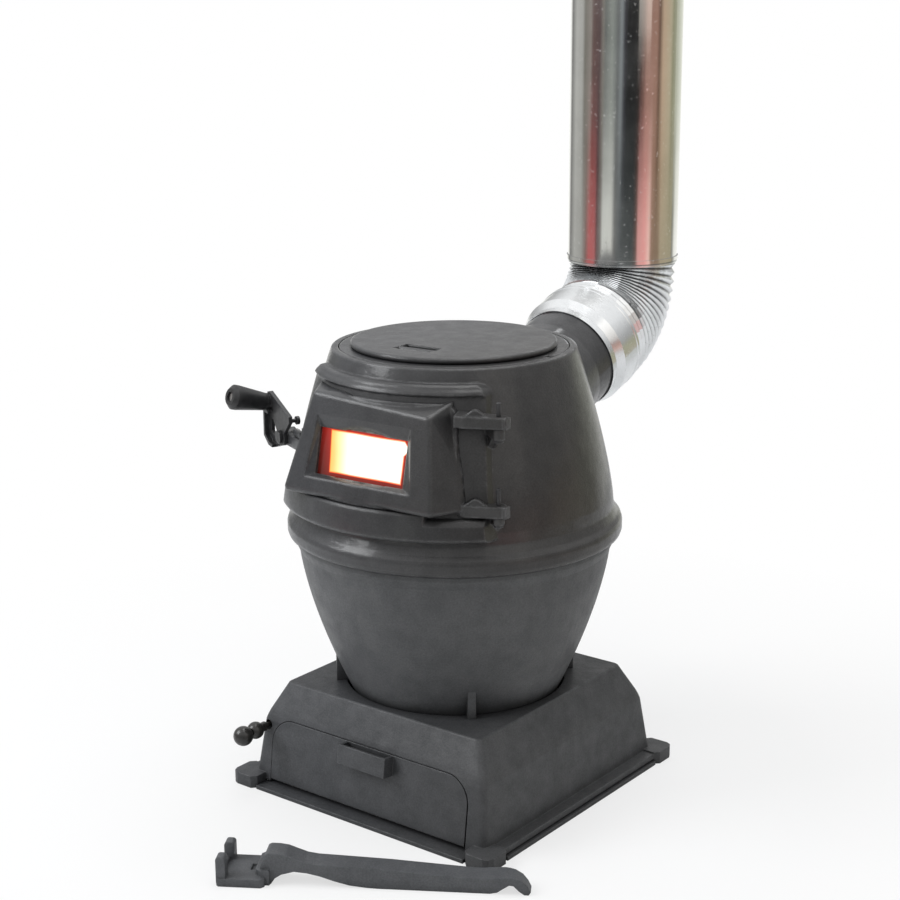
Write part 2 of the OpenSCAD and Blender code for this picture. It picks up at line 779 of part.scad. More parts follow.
module cover_ring() {
  color(iron) rotate(drum_turn) difference() {
    translate([0, 0, drum_top_z - recess_d]) rotate_extrude($fn = fine) {
      translate([cover_hole_r, 0]) square([recess_r - cover_gap - cover_hole_r - 1, recess_d]);
      translate([cover_hole_r, 0]) square([recess_r - cover_gap - cover_hole_r, recess_d - 1]);
      translate([recess_r - cover_gap - 1, recess_d - 1]) circle(r = 1, $fn = 32);
    }
    translate([recess_r - 7.5, -4, drum_top_z - recess_d - 1]) cube([12, 8, recess_d + 2]);
  }
}

module centre_lid() {
  plug = recess_d + 1;
  color(iron) rotate(drum_turn) difference() {
    union() {
      translate([0, 0, drum_top_z]) rotate_extrude($fn = fine) {
        square([lid_r - lid_t / 2, lid_t]);
        translate([lid_r - lid_t / 2, lid_t / 2]) circle(r = lid_t / 2, $fn = 48);
      }
      translate([0, 0, drum_top_z - plug]) cylinder(r = cover_hole_r - 0.8, h = plug + 1, $fn = fine);
    }
    difference() {
      translate([-22, -74, drum_top_z - 4]) cube([44, 24, 20]);
      translate([-30, -62, drum_top_z + lid_t - 3.2]) rotate([0, 90, 0]) cylinder(r = 3, h = 60, $fn = 32);
    }
  }
}

// Bar from the door plate out to the hinge eye
module door_arm(z) {
  translate([0, 0, z]) linear_extrude(hinge_arm_h) difference() {
    union() {
      translate([hinge_x, hinge_y]) circle(r = eye_r, $fn = 48);
      translate([hinge_x, hinge_y - 4]) square([10.5, 8]);
      polygon([
        [hinge_x + 2, hinge_y - eye_r + 0.3], [hinge_x - 26, hinge_y - 20], [hinge_x - 36, hinge_y - 21],
        [hinge_x - 44, hinge_y - 1], [hinge_x - 30, hinge_y + 1], [hinge_x - 1, hinge_y + eye_r - 0.1]
      ]);
    }
    translate([hinge_x, hinge_y]) circle(r = pin_r + pin_gap, $fn = 32);
  }
  translate([hinge_x - 19, hinge_y - 9, z + hinge_arm_h - 1]) rotate([90, 0, 30]) linear_extrude(5)
    polygon([[-15, 0], [13, 0], [7, 3.5], [2, 6.8], [-1, 7.6], [-4, 6.6], [-8, 3.5]]);
}

module latch_ear() {
  on_latch() {
    translate([0, 0, -11]) cylinder(r = 9, h = 10.7, $fn = 48);
    translate([0, -8, -11]) cube([47, 12, 10.2]);
  }
}

module door_leaf() {
  color(iron) rotate(drum_turn) difference() {
    union() {
      intersection() {
        drum_solid(leaf_proud, leaf_low, leaf_high);
        arched(leaf_low, leaf_high, leaf_half_low, leaf_half_high, 15);
      }
      hull() {
        on_face() {
          for (c = [
            [box_soft - box_half_low - box_left, face_low + box_soft],
            [box_half_low + box_right_low - box_soft, face_low + box_soft],
            [box_soft - box_half_high, face_high - box_soft + box_rise],
            [box_half_high + box_right_high - box_soft, face_high - box_soft]
          ]) translate([c[0], box_soft, c[1]]) sphere(r = box_soft, $fn = 24);
        }
        translate([0, 17 - box_back, 0]) rotate([90, 0, 0]) linear_extrude(17) polygon([
          [-flank_x(leaf_low + 0.8), leaf_low + 0.8], [flank_x(leaf_low + 0.8), leaf_low + 0.8],
          [flank_x(leaf_high + 3), leaf_high + 3], [-flank_x(leaf_high + 3), leaf_high + 3]
        ]);
      }
      door_arm(arm_high_z);
      door_arm(arm_low_z);
      latch_ear();
    }
    drum_solid(pad_proud + leaf_gap, leaf_low - 20, leaf_high + 20);
    on_face() {
      hull() {
        translate([0, -eps, 0]) rotate([90, 0, 0]) linear_extrude(1) polygon([
          [-sight_half - 11, -sight_tall - 4.1], [sight_half + 11, -sight_tall - 4.1],
          [sight_half + 3, sight_tall + 11.8], [-sight_half - 3, sight_tall + 11.8]
        ]);
        translate([sight_x - sight_half, 0, -sight_tall]) cube([2 * sight_half, face_t - 3, 2 * sight_tall]);
      }
      translate([sight_x - sight_half, -1, -sight_tall]) cube([2 * sight_half, face_t + 20, 2 * sight_tall]);
      translate([sight_x, face_t + 60, 0]) rotate([90, 0, 0]) linear_extrude(60) polygon([
        [-70, -36], [70, -36], [60, 41], [-60, 41]
      ]);
    }
    on_latch() translate([0, 0, -20]) cylinder(r = bolt_r + 0.3, h = 40, $fn = 32);
  }
  color(iron) rotate(drum_turn) on_sight() frame_screw_places() difference() {
    translate([0, face_t - 1, 0]) rotate([-90, 0, 0]) cylinder(r = 4.5, h = seal_t + glass_t + 1, $fn = 32);
    rotate([-90, 0, 0]) cylinder(r = 2.05, h = 30, $fn = 32);
  }
}

module frame_screw_places() {
  for (s = [-1, 1]) {
    translate([s * (sight_half - 10), 0, sight_tall + 12.2]) children();
    translate([s * (sight_half + 10.3), 0, 1.6 - sight_tall]) children();
  }
}

module window_seal() {
  color([0.75, 0.73, 0.68]) rotate(drum_turn) on_sight() difference() {
    translate([-glass_half, face_t, -glass_tall]) cube([2 * glass_half, seal_t, 2 * glass_tall]);
    translate([-sight_half - 1, face_t - 1, -sight_tall - 1])
      cube([2 * sight_half + 2, 10, 2 * sight_tall + 2]);
  }
}

module window_glass() {
  color([0.9, 0.5, 0.2, 0.6]) rotate(drum_turn) on_sight()
    translate([-glass_half, glass_y, -glass_tall]) cube([2 * glass_half, glass_t, 2 * glass_tall]);
}

module glass_frame() {
  color(zinc) rotate(drum_turn) on_sight() difference() {
    translate([0, frame_y + frame_t, 0]) rotate([90, 0, 0]) linear_extrude(frame_t) polygon([
      [-sight_half - 15.5, -sight_tall - 7.4], [sight_half + 15.5, -sight_tall - 7.4],
      [sight_half + 7.5, sight_tall + 17.4], [-sight_half - 7.5, sight_tall + 17.4]
    ]);
    translate([-sight_half - 2, 0, -sight_tall - 2]) cube([2 * sight_half + 4, 40, 2 * sight_tall + 4]);
    frame_screw_places() rotate([-90, 0, 0]) cylinder(r = 2.1, h = 40, $fn = 32);
  }
}

module frame_screws() {
  color(steel) rotate(drum_turn) on_sight() frame_screw_places() difference() {
    rotate([-90, 0, 0]) {
      translate([0, 0, face_t]) cylinder(r = 2, h = seal_t + glass_t + frame_t + 1, $fn = 32);
      translate([0, 0, frame_y + frame_t]) cylinder(r = 4, h = 2.4, $fn = 32);
    }
    translate([-5, frame_y + frame_t + 1.4, -0.5]) cube([10, 3, 1]);
  }
}

module hinge_pins() {
  color(steel) rotate(drum_turn) translate([hinge_x, hinge_y, 0]) {
    translate([0, 0, arm_high_z - 11.2]) cylinder(r = pin_r, h = 35, $fn = 32);
    translate([0, 0, arm_high_z - 13.5]) cylinder(r = 4.5, h = 2.5, $fn = 32);
    translate([0, 0, arm_low_z - 7.5]) cylinder(r = pin_r, h = 35, $fn = 32);
    translate([0, 0, arm_low_z - 9.8]) cylinder(r = 4.5, h = 2.5, $fn = 32);
  }
}

module latch_lever() {
  color(iron) rotate(drum_turn) on_latch() difference() {
    union() {
      linear_extrude(lever_t) difference() {
        union() {
          circle(r = 9, $fn = 48);
          polygon([
            [-33.5, 40], [-28, 41.6], [22, 25], [23, 19], [9, 6], [-2, -9], [-12, -13], [-22, -12.4],
            [-33, -4], [-33, 20]
          ]);
        }
        polygon([[-25, 14], [-20, 14], [-11, 5], [-14, -2], [-25, 1]]);
      }
      translate([-34, -3, 0]) cube([3.4, 26, 9]);
      translate([-34, 20, 0]) cube([12, 3.4, 9]);
      linear_extrude(9) polygon([
        [-34, -2.9], [-30.6, -2.9], [-20.8, -9.4], [-12, -10], [-12, -13], [-22, -12.4], [-34, -4.6]
      ]);
      translate([17, 19.5, -7]) cylinder(r = 2, h = 9, $fn = 32);
      translate([17, 19.5, -9]) cylinder(r = 4.2, h = 3, $fn = 32);
      on_grip() translate([0, 0, -7]) cylinder(r = grip_foot_r, h = 7, $fn = 48);
    }
    translate([0, 0, -20]) cylinder(r = bolt_r + 0.08, h = 60, $fn = 32);
    on_grip() translate([0, 0, -20]) cylinder(r = 2.55, h = 60, $fn = 32);
  }
}

// Moves things to the foot of the grip, along its axis
module on_grip() {
  translate([-31.3, 30.7, 9]) rotate([-grip_tilt, grip_yaw, 0]) children();
}

module latch_bolt() {
  color(steel) rotate(drum_turn) on_latch() {
    translate([0, 0, -18]) cylinder(r = bolt_r, h = 20 + lever_t, $fn = 32);
    translate([0, 0, lever_t + 0.1]) cylinder(r = 6.5, h = 3.4, $fn = 48);
  }
}

module latch_nut() {
  color(steel) rotate(drum_turn) on_latch() difference() {
    translate([0, 0, -15.5]) linear_extrude(4.4) circle(r = 6.9, $fn = 6);
    translate([0, 0, -20]) cylinder(r = bolt_r + 0.05, h = 20, $fn = 32);
  }
}

module latch_grip() {
  color(black) rotate(drum_turn) on_latch() on_grip() difference() {
    union() {
      cylinder(r1 = grip_foot_r, r2 = grip_r, h = grip_l - 8, $fn = 48);
      translate([0, 0, grip_l - 8]) cylinder(r = grip_r, h = 4, $fn = 48);
      translate([0, 0, grip_l - 4]) cylinder(r1 = grip_r, r2 = grip_r - 4, h = 4, $fn = 48);
    }
    translate([0, 0, -1]) cylinder(r = 2.55, h = grip_l + 4, $fn = 32);
    translate([0, 0, grip_l - 6]) cylinder(r = 5, h = 10, $fn = 32);
  }
}

module grip_screw() {
  color(steel) rotate(drum_turn) on_latch() on_grip() {
    translate([0, 0, -7]) cylinder(r = 2.5, h = grip_l + 1, $fn = 32);
    translate([0, 0, grip_l - 6]) cylinder(r = 4.6, h = 3.5, $fn = 32);
  }
}

// Point on the pleated tube: bend angle, or distance before the bend, angle round the tube, radius
function bend_point(t, w, r) = let (a = flue_rise + max(0, t), back = min(0, t)) [
  r * sin(w),
  bend_cy + (bend_r + r * cos(w)) * sin(a) + back * cos(flue_rise),
  bend_cz - (bend_r + r * cos(w)) * cos(a) + back * sin(flue_rise)
];

// Place of a ring along the pleated tube
function ring_at(i, rings) = i < run_rings
  ? -pleat_run * (1 - i / run_rings)
  : bend_alpha * (i - run_rings) / (rings - 1 - run_rings);

// Radius of a pleat's ridge or valley, deeper on the outside of the bend
function pleat_r(i, w, rings) = tube_start_r + (tube_r - tube_start_r) * i / (rings - 1)
  + (i % 2 == 1 ? pleat_d * (0.5 + 0.25 * (1 + cos(w))) : 0);

module pleated_tube() {
  sides = 36;
  rings = 2 * pleats + 1;
  points = [for (skin = [0, 1], i = [0 : rings - 1], j = [0 : sides - 1])
    let (w = 360 * j / sides) bend_point(ring_at(i, rings), w, pleat_r(i, w, rings) - 1.5 * skin)];
  function id(skin, i, j) = (skin * rings + i) * sides + (j % sides);
  faces = concat(
    [for (i = [0 : rings - 2], j = [0 : sides - 1]) [id(0, i, j), id(0, i + 1, j + 1), id(0, i + 1, j)]],
    [for (i = [0 : rings - 2], j = [0 : sides - 1]) [id(0, i, j), id(0, i, j + 1), id(0, i + 1, j + 1)]],
    [for (i = [0 : rings - 2], j = [0 : sides - 1]) [id(1, i, j), id(1, i + 1, j), id(1, i + 1, j + 1)]],
    [for (i = [0 : rings - 2], j = [0 : sides - 1]) [id(1, i, j), id(1, i + 1, j + 1), id(1, i, j + 1)]],
    [for (j = [0 : sides - 1]) [id(0, 0, j), id(1, 0, j + 1), id(0, 0, j + 1)]],
    [for (j = [0 : sides - 1]) [id(0, 0, j), id(1, 0, j), id(1, 0, j + 1)]],
    [for (j = [0 : sides - 1]) [id(0, rings - 1, j), id(0, rings - 1, j + 1), id(1, rings - 1, j + 1)]],
    [for (j = [0 : sides - 1]) [id(0, rings - 1, j), id(1, rings - 1, j + 1), id(1, rings - 1, j)]]
  );
  polyhedron(points = points, faces = faces, convexity = 12);
}

module flue_elbow() {
  color(zinc) rotate(drum_turn) {
    pleated_tube();
    on_flue() rotate_extrude($fn = fine) polygon([
      [flue_r + 0.4, -sleeve], [flue_r + 1.6, -sleeve], [flue_r + 1.6, 8 - sleeve], [cuff_r, 18 - sleeve],
      [cuff_r, cuff_l - 2], [cuff_r + 0.6, cuff_l - 1], [cuff_r + 0.6, cuff_l + 2.5],
      [tube_start_r - 2.5, cuff_l + 2.5], [tube_start_r - 2.5, cuff_l - 2], [cuff_r - 1.2, cuff_l - 4],
      [cuff_r - 1.2, 19 - sleeve], [flue_r + 0.4, 9 - sleeve]
    ]);
    translate([0, pipe_y, 0]) rotate_extrude($fn = fine) polygon([
      [tube_r - 2.5, bend_cz - 2.5], [pipe_r, bend_cz - 2.5], [pipe_r, shoulder_z],
      [pipe_r - pipe_t - 0.4, shoulder_z], [pipe_r - pipe_t - 0.4, shoulder_z + 28],
      [pipe_r - pipe_t - 1.4, shoulder_z + 28], [tube_r - 2.5, shoulder_z]
    ]);
  }
}

module stovepipe() {
  color(steel) rotate(drum_turn) translate([0, pipe_y, 0]) rotate_extrude($fn = fine) {
    translate([pipe_r - pipe_t, shoulder_z]) square([pipe_t, pipe_top - shoulder_z]);
    translate([pipe_r - pipe_t, shoulder_z]) square([pipe_t + 1.2, 4]);
  }
}

// Side outline of the lifter's bar: root, arch, shaft and curled tip
module lifter_side() {
  polygon([
    [38, 0], [50, 0], [54, 6], [60, 10], [72, 13.5], [84, 12.5], [96, 10], [110, 5.5], [124, 2],
    [140, 0.4], [150, 0], [lifter_l - 38, 0], [lifter_l - 31, 1.5], [lifter_l - 26, 5],
    [lifter_l - 20, 9], [lifter_l - 16, 8.6], [lifter_l - 11, 3.5], [lifter_l - 6, 0],
    [lifter_l - 2, 0], [lifter_l, 3], [lifter_l - 3, 8.5], [lifter_l - 8, 13.5],
    [lifter_l - 15, 16.4], [lifter_l - 24, 17], [lifter_l - 34, 16], [lifter_l - 44, 14.6],
    [lifter_l - 54, 14.6], [200, 17], [160, 19.5], [120, 21], [92, 22], [82, 23.5], [72, 27],
    [64, 30], [56, 31], [48, 31], [45, 29.5], [42, 22], [40, 16]
  ]);
}

// Plan outline of the bar, narrower towards the tip
module lifter_plan() {
  half = lifter_w / 2;
  polygon([
    [30, -half], [lifter_l + 1, -half], [lifter_l + 1, half - 10], [lifter_l - 8, half - 6],
    [lifter_l - 20, half - 2], [lifter_l - 40, half], [30, half]
  ]);
}

// Outline of a post of the fork, rounded at the top
module post_side(w, h) {
  soft = w / 3;
  translate([0, 3]) square([w, h - 3 - soft]);
  translate([soft, h - soft]) circle(r = soft, $fn = 32);
  translate([w - soft, h - soft]) circle(r = soft, $fn = 32);
  translate([soft, 3]) square([w - 2 * soft, h - 3]);
}

// Plate of the fork between the posts and the bar
module fork_plate() {
  linear_extrude(8) polygon([
    [2, -8], [42, -8], [45, -5], [46, 10], [46, fork_w - 11], [43, fork_w - 8],
    [2, fork_w - 8], [0, fork_w - 10], [0, -6]
  ]);
}

module lifter() {
  color(iron) translate([lifter_x, lifter_y, 0]) rotate(lifter_turn) difference() {
    union() {
      fork_plate();
      translate([0, 4, 0]) rotate([90, 0, 0]) linear_extrude(11) post_side(9, 29);
      translate([0, fork_w - 8, 0]) rotate([90, 0, 0]) linear_extrude(11) post_side(9.6, 25.5);
      translate([0, fork_w - 14, 0]) rotate([90, 0, 0]) linear_extrude(fork_w - 11) square([5, 11]);
      translate([36, 0, 0]) linear_extrude(15) polygon([
        [0, 2], [5, -2], [13, -2], [15, 8], [15, 30], [12, 36], [4, 36], [0, 32]
      ]);
      translate([0, 12, 0]) intersection() {
        translate([0, lifter_w / 2, 0]) rotate([90, 0, 0]) linear_extrude(lifter_w) lifter_side();
        linear_extrude(60) lifter_plan();
      }
    }
    translate([29, 12, 6]) cube([5, 12, 10]);
  }
}

bottom_plate();
plate_screws();
ash_housing();
drawer_front();
ash_pan();
pan_rivets();
fire_pot();
grate();
shaker_rod();
shaker_collar();
shaker_knob();
belt_seal();
upper_body();
cover_ring();
centre_lid();
door_leaf();
window_seal();
window_glass();
glass_frame();
frame_screws();
hinge_pins();
latch_lever();
latch_bolt();
latch_nut();
latch_grip();
grip_screw();
flue_elbow();
stovepipe();
lifter();
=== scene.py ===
import json
import math
import bpy
import bmesh
from mathutils import Matrix, Vector

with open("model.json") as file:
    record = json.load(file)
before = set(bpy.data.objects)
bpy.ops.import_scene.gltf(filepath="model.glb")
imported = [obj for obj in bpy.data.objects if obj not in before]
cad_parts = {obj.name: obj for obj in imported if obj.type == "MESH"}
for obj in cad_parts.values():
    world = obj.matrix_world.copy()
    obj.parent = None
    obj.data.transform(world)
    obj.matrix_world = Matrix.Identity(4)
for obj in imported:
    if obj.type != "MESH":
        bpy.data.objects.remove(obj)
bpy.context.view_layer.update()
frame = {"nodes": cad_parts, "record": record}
NODE = frame["nodes"]

# Turn of the drum, the door and the flue against the square base
DRUM_TURN = math.radians(3.0)

# Centre of the elbow's bend in the turned frame (m), its first angle and the angle from valley to ridge
BEND_Y = 0.262131
BEND_Z = 0.506040
BEND_START = math.radians(18.0)
BEND_STEP = math.radians(72.0 / 26)


# ---------------------------------------------------------------- node trees
class Tree:
    """Short calls for building one node tree."""

    def __init__(self, owner):
        owner.use_nodes = True
        self.tree = owner.node_tree
        self.tree.nodes.clear()

    def add(self, kind, inputs=None, **fields):
        node = self.tree.nodes.new(kind)
        for field, value in fields.items():
            setattr(node, field, value)
        for socket, value in (inputs or {}).items():
            node.inputs[socket].default_value = value
        return node

    def link(self, output, socket):
        self.tree.links.new(output, socket)

    def math(self, operation, a, b=0.0, clamp=False):
        node = self.add("ShaderNodeMath", operation=operation, use_clamp=clamp)
        for i, value in enumerate((a, b)):
            if isinstance(value, (int, float)):
                node.inputs[i].default_value = value
            else:
                self.link(value, node.inputs[i])
        return node.outputs[0]

    def object_place(self):
        return self.add("ShaderNodeTexCoord").outputs["Object"]

    def split(self, vector):
        node = self.add("ShaderNodeSeparateXYZ")
        self.link(vector, node.inputs[0])
        return node.outputs

    def red(self, colour):
        node = self.add("ShaderNodeSeparateColor")
        self.link(colour, node.inputs[0])
        return node.outputs[0]

    def turned(self, vector, angle):
        """The vector turned about Z."""
        node = self.add("ShaderNodeMapping", inputs={"Rotation": (0.0, 0.0, angle)})
        self.link(vector, node.inputs["Vector"])
        return node.outputs[0]

    def noise(self, vector, scale, detail=3.0, rough=0.55):
        settings = {"Scale": scale, "Detail": detail, "Roughness": rough}
        node = self.add("ShaderNodeTexNoise", inputs=settings)
        self.link(vector, node.inputs["Vector"])
        return node.outputs["Fac"]

    def cells(self, vector, scale):
        node = self.add("ShaderNodeTexVoronoi", inputs={"Scale": scale}, feature="F1")
        self.link(vector, node.inputs["Vector"])
        return node.outputs

    def ramp(self, factor, stops):
        node = self.add("ShaderNodeValToRGB")
        elements = node.color_ramp.elements
        while len(elements) < len(stops):
            elements.new(0.5)
        for element, (position, colour) in zip(elements, stops):
            element.position = position
            element.color = (*colour, 1.0)
        self.link(factor, node.inputs["Fac"])
        return node.outputs["Color"]

    def grey(self, factor, low, high, start=0.0, end=1.0):
        """From low to high between two positions, which have to lie within 0 to 1."""
        return self.ramp(factor, [(start, (low, low, low)), (end, (high, high, high))])

    def mix(self, factor, a, b, mode="MIX"):
        node = self.add("ShaderNodeMix", data_type="RGBA", blend_type=mode)
        for socket, value in ((node.inputs[0], factor), (node.inputs[6], a), (node.inputs[7], b)):
            if isinstance(value, (int, float)):
                socket.default_value = value
            elif isinstance(value, tuple):
                socket.default_value = (*value, 1.0)
            else:
                self.link(value, socket)
        return node.outputs[2]

    def times(self, a, b):
        return self.mix(1.0, a, b, "MULTIPLY")

    def bump(self, height, strength, distance, normal=None):
        node = self.add("ShaderNodeBump", inputs={"Strength": strength, "Distance": distance})
        self.link(height, node.inputs["Height"])
        if normal is not None:
            self.link(normal, node.inputs["Normal"])
        return node.outputs["Normal"]

    def open_air(self, distance):
        """Low in folds and corners that are narrower than the distance."""
        node = self.add("ShaderNodeAmbientOcclusion", inputs={"Distance": distance}, samples=4)
        return node.outputs["AO"]

    def principled(self, inputs):
        shader = self.add("ShaderNodeBsdfPrincipled", inputs=inputs)
        self.link(shader.outputs[0], self.add("ShaderNodeOutputMaterial").inputs[0])
        return shader


def new_material(name):
    material = bpy.data.materials.new(name)
    return material, Tree(material)


# ---------------------------------------------------------------- surfaces
def edge_mask(t, radius, broken):
    """Bright where the surface turns sharply, broken up by noise; also gives the softened normal."""
    soft = t.add("ShaderNodeBevel", inputs={"Radius": radius}, samples=4).outputs[0]
    dot = t.add("ShaderNodeVectorMath", operation="DOT_PRODUCT")
    t.link(soft, dot.inputs[0])
    t.link(t.add("ShaderNodeNewGeometry").outputs["Normal"], dot.inputs[1])
    turn = t.math("SUBTRACT", 1.0, dot.outputs["Value"])
    mask = t.grey(turn, 0.0, 1.0, 0.015, 0.20)
    return t.math("MULTIPLY", mask, broken, clamp=True), soft


def cast_iron(name, dark, light, wear_and_highlight, wear_and_highlight_amount, rough,
              grain=1.0, right_shade=None, edge=0.0028, coat=0.0, gloss=0.42):
    """Stove paint over sand-cast iron: fine pits, slow waves, edges lightened partly as rubbed wear and
    partly as painted highlight, painted shade in corners and, when given, towards the right side.
    """
    material, t = new_material(name)
    place = t.object_place()
    broad = t.noise(place, 14.0, 4.0, 0.6)
    cloud = t.noise(place, 55.0, 5.0, 0.6)
    sand = t.noise(place, 620.0, 2.0, 0.6)
    pits = t.cells(place, 900.0)["Distance"]

    tone = t.math("ADD", t.math("MULTIPLY", broad, 0.55), t.math("MULTIPLY", cloud, 0.45))
    base = t.ramp(tone, [(0.36, dark), (0.62, light)])
    if right_shade is not None:
        # Painted shade with a warm painted reflection: the colour turns darker and browner towards the
        # stove's right side
        right_shade_reach = t.math("ADD", t.math("MULTIPLY", t.split(place)[0], 2.2), 0.2)
        base = t.mix(t.grey(right_shade_reach, 0.0, 1.0, 0.1, 0.6), base, t.mix(0.8, base, right_shade, "MULTIPLY"))
    base = t.times(base, t.grey(sand, 0.86, 1.12, 0.35, 0.68))
    broken = t.grey(t.noise(place, 130.0, 3.0, 0.65), 0.15, 1.0, 0.38, 0.6)
    mask, soft = edge_mask(t, edge, broken)
    # Lightened edges: partly rubbed-through paint, partly painted highlight
    base = t.mix(t.math("MULTIPLY", mask, wear_and_highlight_amount), base, wear_and_highlight)
    # Painted shade: darker in corners, recesses and under ledges
    base = t.times(base, t.grey(t.open_air(0.016), 0.45, 1.0, 0.35, 0.85))

    shader = t.principled({"Specular IOR Level": gloss, "Coat Weight": coat, "Coat Roughness": 0.14})
    t.link(base, shader.inputs["Base Color"])
    mottle = t.math("ADD", t.math("MULTIPLY", cloud, 0.6), t.math("MULTIPLY", sand, 0.4))
    smooth, dull = rough
    roughness = t.grey(mottle, dull, smooth, 0.35, 0.65)
    t.link(t.mix(t.math("MULTIPLY", mask, 0.6), roughness, (0.3, 0.3, 0.3)), shader.inputs["Roughness"])

    normal = t.bump(broad, 0.35, 0.004, soft)
    normal = t.bump(cloud, 0.30, 0.0012, normal)
    normal = t.bump(sand, 0.55 * grain, 0.00035, normal)
    normal = t.bump(pits, 0.25 * grain, 0.0002, normal)
    t.link(normal, shader.inputs["Normal"])
    if coat:
        wave = t.bump(cloud, 0.25, 0.0012, soft)
        ripple = t.bump(t.noise(place, 210.0, 3.0, 0.6), 0.22, 0.0006, wave)
        t.link(ripple, shader.inputs["Coat Normal"])
    return material


def pleat_wave(t, place):
    """0 in the elbow's valleys, 1 on its ridges, counted round the centre of the bend."""
    _, y, z = t.split(t.turned(place, -DRUM_TURN))
    angle = t.math("ARCTAN2", t.math("SUBTRACT", y, BEND_Y), t.math("SUBTRACT", BEND_Z, z))
    count = t.math("DIVIDE", t.math("SUBTRACT", angle, BEND_START), BEND_STEP)
    wave = t.math("PINGPONG", count, 1.0)
    return t.math("MAXIMUM", wave, t.math("LESS_THAN", count, 0.0))


def sheet_metal(name, dark, light, rough, marks, marks_amount,
                spangle=0.0, streak=0.0, dent=0.15, fold_shade=0.0):
    """Bright sheet: spangle or fine streaks, shallow dents, faint marks, painted shade in the folds."""
    material, t = new_material(name)
    place = t.object_place()
    cloud = t.noise(place, 22.0, 4.0, 0.6)
    drawn = t.add("ShaderNodeMapping", inputs={"Scale": (1.0, 1.0, 0.03)})
    t.link(place, drawn.inputs["Vector"])
    lines = t.noise(drawn.outputs[0], 900.0, 2.0, 0.5)
    spots = t.grey(t.noise(place, 260.0, 2.0, 0.5), 0.0, 1.0, 0.66, 0.72)

    base = t.ramp(cloud, [(0.3, dark), (0.7, light)])
    if spangle:
        flakes = t.red(t.cells(place, 150.0)["Color"])
        base = t.times(base, t.grey(flakes, 1.0 - spangle, 1.0))
    base = t.mix(t.math("MULTIPLY", spots, marks_amount), base, marks)
    if fold_shade:
        # Painted shade: darker in the elbow's valleys and in the narrow grooves between its pleats
        base = t.times(base, t.grey(pleat_wave(t, place), 0.42, 1.0, 0.0, 0.55))
        base = t.times(base, t.grey(t.open_air(0.0024), 1.0 - fold_shade, 1.0, 0.45, 0.90))

    shader = t.principled({"Metallic": 1.0})
    t.link(base, shader.inputs["Base Color"])
    roughness = t.math("ADD", t.math("MULTIPLY", lines, streak), rough)
    roughness = t.math("ADD", roughness, t.math("MULTIPLY", cloud, 0.10))
    roughness = t.math("ADD", roughness, t.math("MULTIPLY", spots, 0.12), clamp=True)
    t.link(roughness, shader.inputs["Roughness"])
    normal = t.bump(t.noise(place, 9.0, 2.0, 0.5), dent, 0.006)
    t.link(t.bump(lines, 0.05 + streak * 0.3, 0.00005, normal), shader.inputs["Normal"])
    return material


def plastic(name):
    """Black moulded grip, scuffed grey in places."""
    material, t = new_material(name)
    place = t.object_place()
    cloud = t.noise(place, 90.0, 3.0, 0.6)
    fine = t.noise(place, 1400.0, 2.0, 0.5)
    scuff = t.grey(t.noise(place, 210.0, 4.0, 0.7), 0.0, 1.0, 0.62, 0.74)
    base = t.ramp(cloud, [(0.3, (0.010, 0.010, 0.011)), (0.7, (0.022, 0.022, 0.023))])
    base = t.mix(t.math("MULTIPLY", scuff, 0.35), base, (0.07, 0.07, 0.07))
    shader = t.principled({"Specular IOR Level": 0.5})
    t.link(base, shader.inputs["Base Color"])
    t.link(t.grey(cloud, 0.34, 0.5, 0.3, 0.7), shader.inputs["Roughness"])
    t.link(t.bump(fine, 0.25, 0.00012), shader.inputs["Normal"])
    return material


def rope(name):
    """Braided glass rope, sooty in places."""
    material, t = new_material(name)
    place = t.object_place()
    wave = t.add("ShaderNodeTexWave", inputs={"Scale": 240.0, "Distortion": 2.0},
                 wave_type="BANDS", bands_direction="DIAGONAL")
    t.link(place, wave.inputs["Vector"])
    braid = wave.outputs["Fac"]
    soot = t.noise(place, 70.0, 4.0, 0.6)
    base = t.ramp(soot, [(0.35, (0.12, 0.11, 0.10)), (0.65, (0.52, 0.50, 0.45))])
    shader = t.principled({"Roughness": 0.95, "Sheen Weight": 0.2})
    t.link(t.times(base, t.grey(braid, 0.6, 1.0)), shader.inputs["Base Color"])
    t.link(t.bump(braid, 0.6, 0.0006), shader.inputs["Normal"])
    return material


# ---------------------------------------------------------------- fire's glow painted on the window glass
# Edges of the glow in the turned frame (m); the left one leans, the right one has a step and a cut corner
GLOW_LEFT = 0.0405
GLOW_LEAN = 0.0035
GLOW_RIGHT = 0.0436
GLOW_STEP = 0.0040
GLOW_STEP_Z = (0.3840, 0.3850)
GLOW_CORNER_Z = 0.391
GLOW_TOP = 0.3962
GLOW_LOW = 0.3570
# Height range of the window (m), width of the glow's soft edge, and the dim strip beside it
WINDOW_Z = (0.3555, 0.4005)
GLOW_SOFT = 0.0032
DIM_REACH = 0.016
DIM_WIDTH = 0.014

FIRE = [
    (0.0, (1.0, 0.50, 0.12)),
    (0.35, (1.0, 0.80, 0.36)),
    (0.75, (1.0, 0.95, 0.74)),
    (1.0, (1.0, 0.99, 0.93)),
]
RIM = [
    (0.0, (0.0, 0.0, 0.0)),
    (0.35, (0.80, 0.05, 0.012)),
    (0.7, (1.0, 0.36, 0.06)),
    (1.0, (1.0, 0.6, 0.2)),
]
EMBER = [(0.0, (0.030, 0.003, 0.003)), (1.0, (0.36, 0.012, 0.008))]


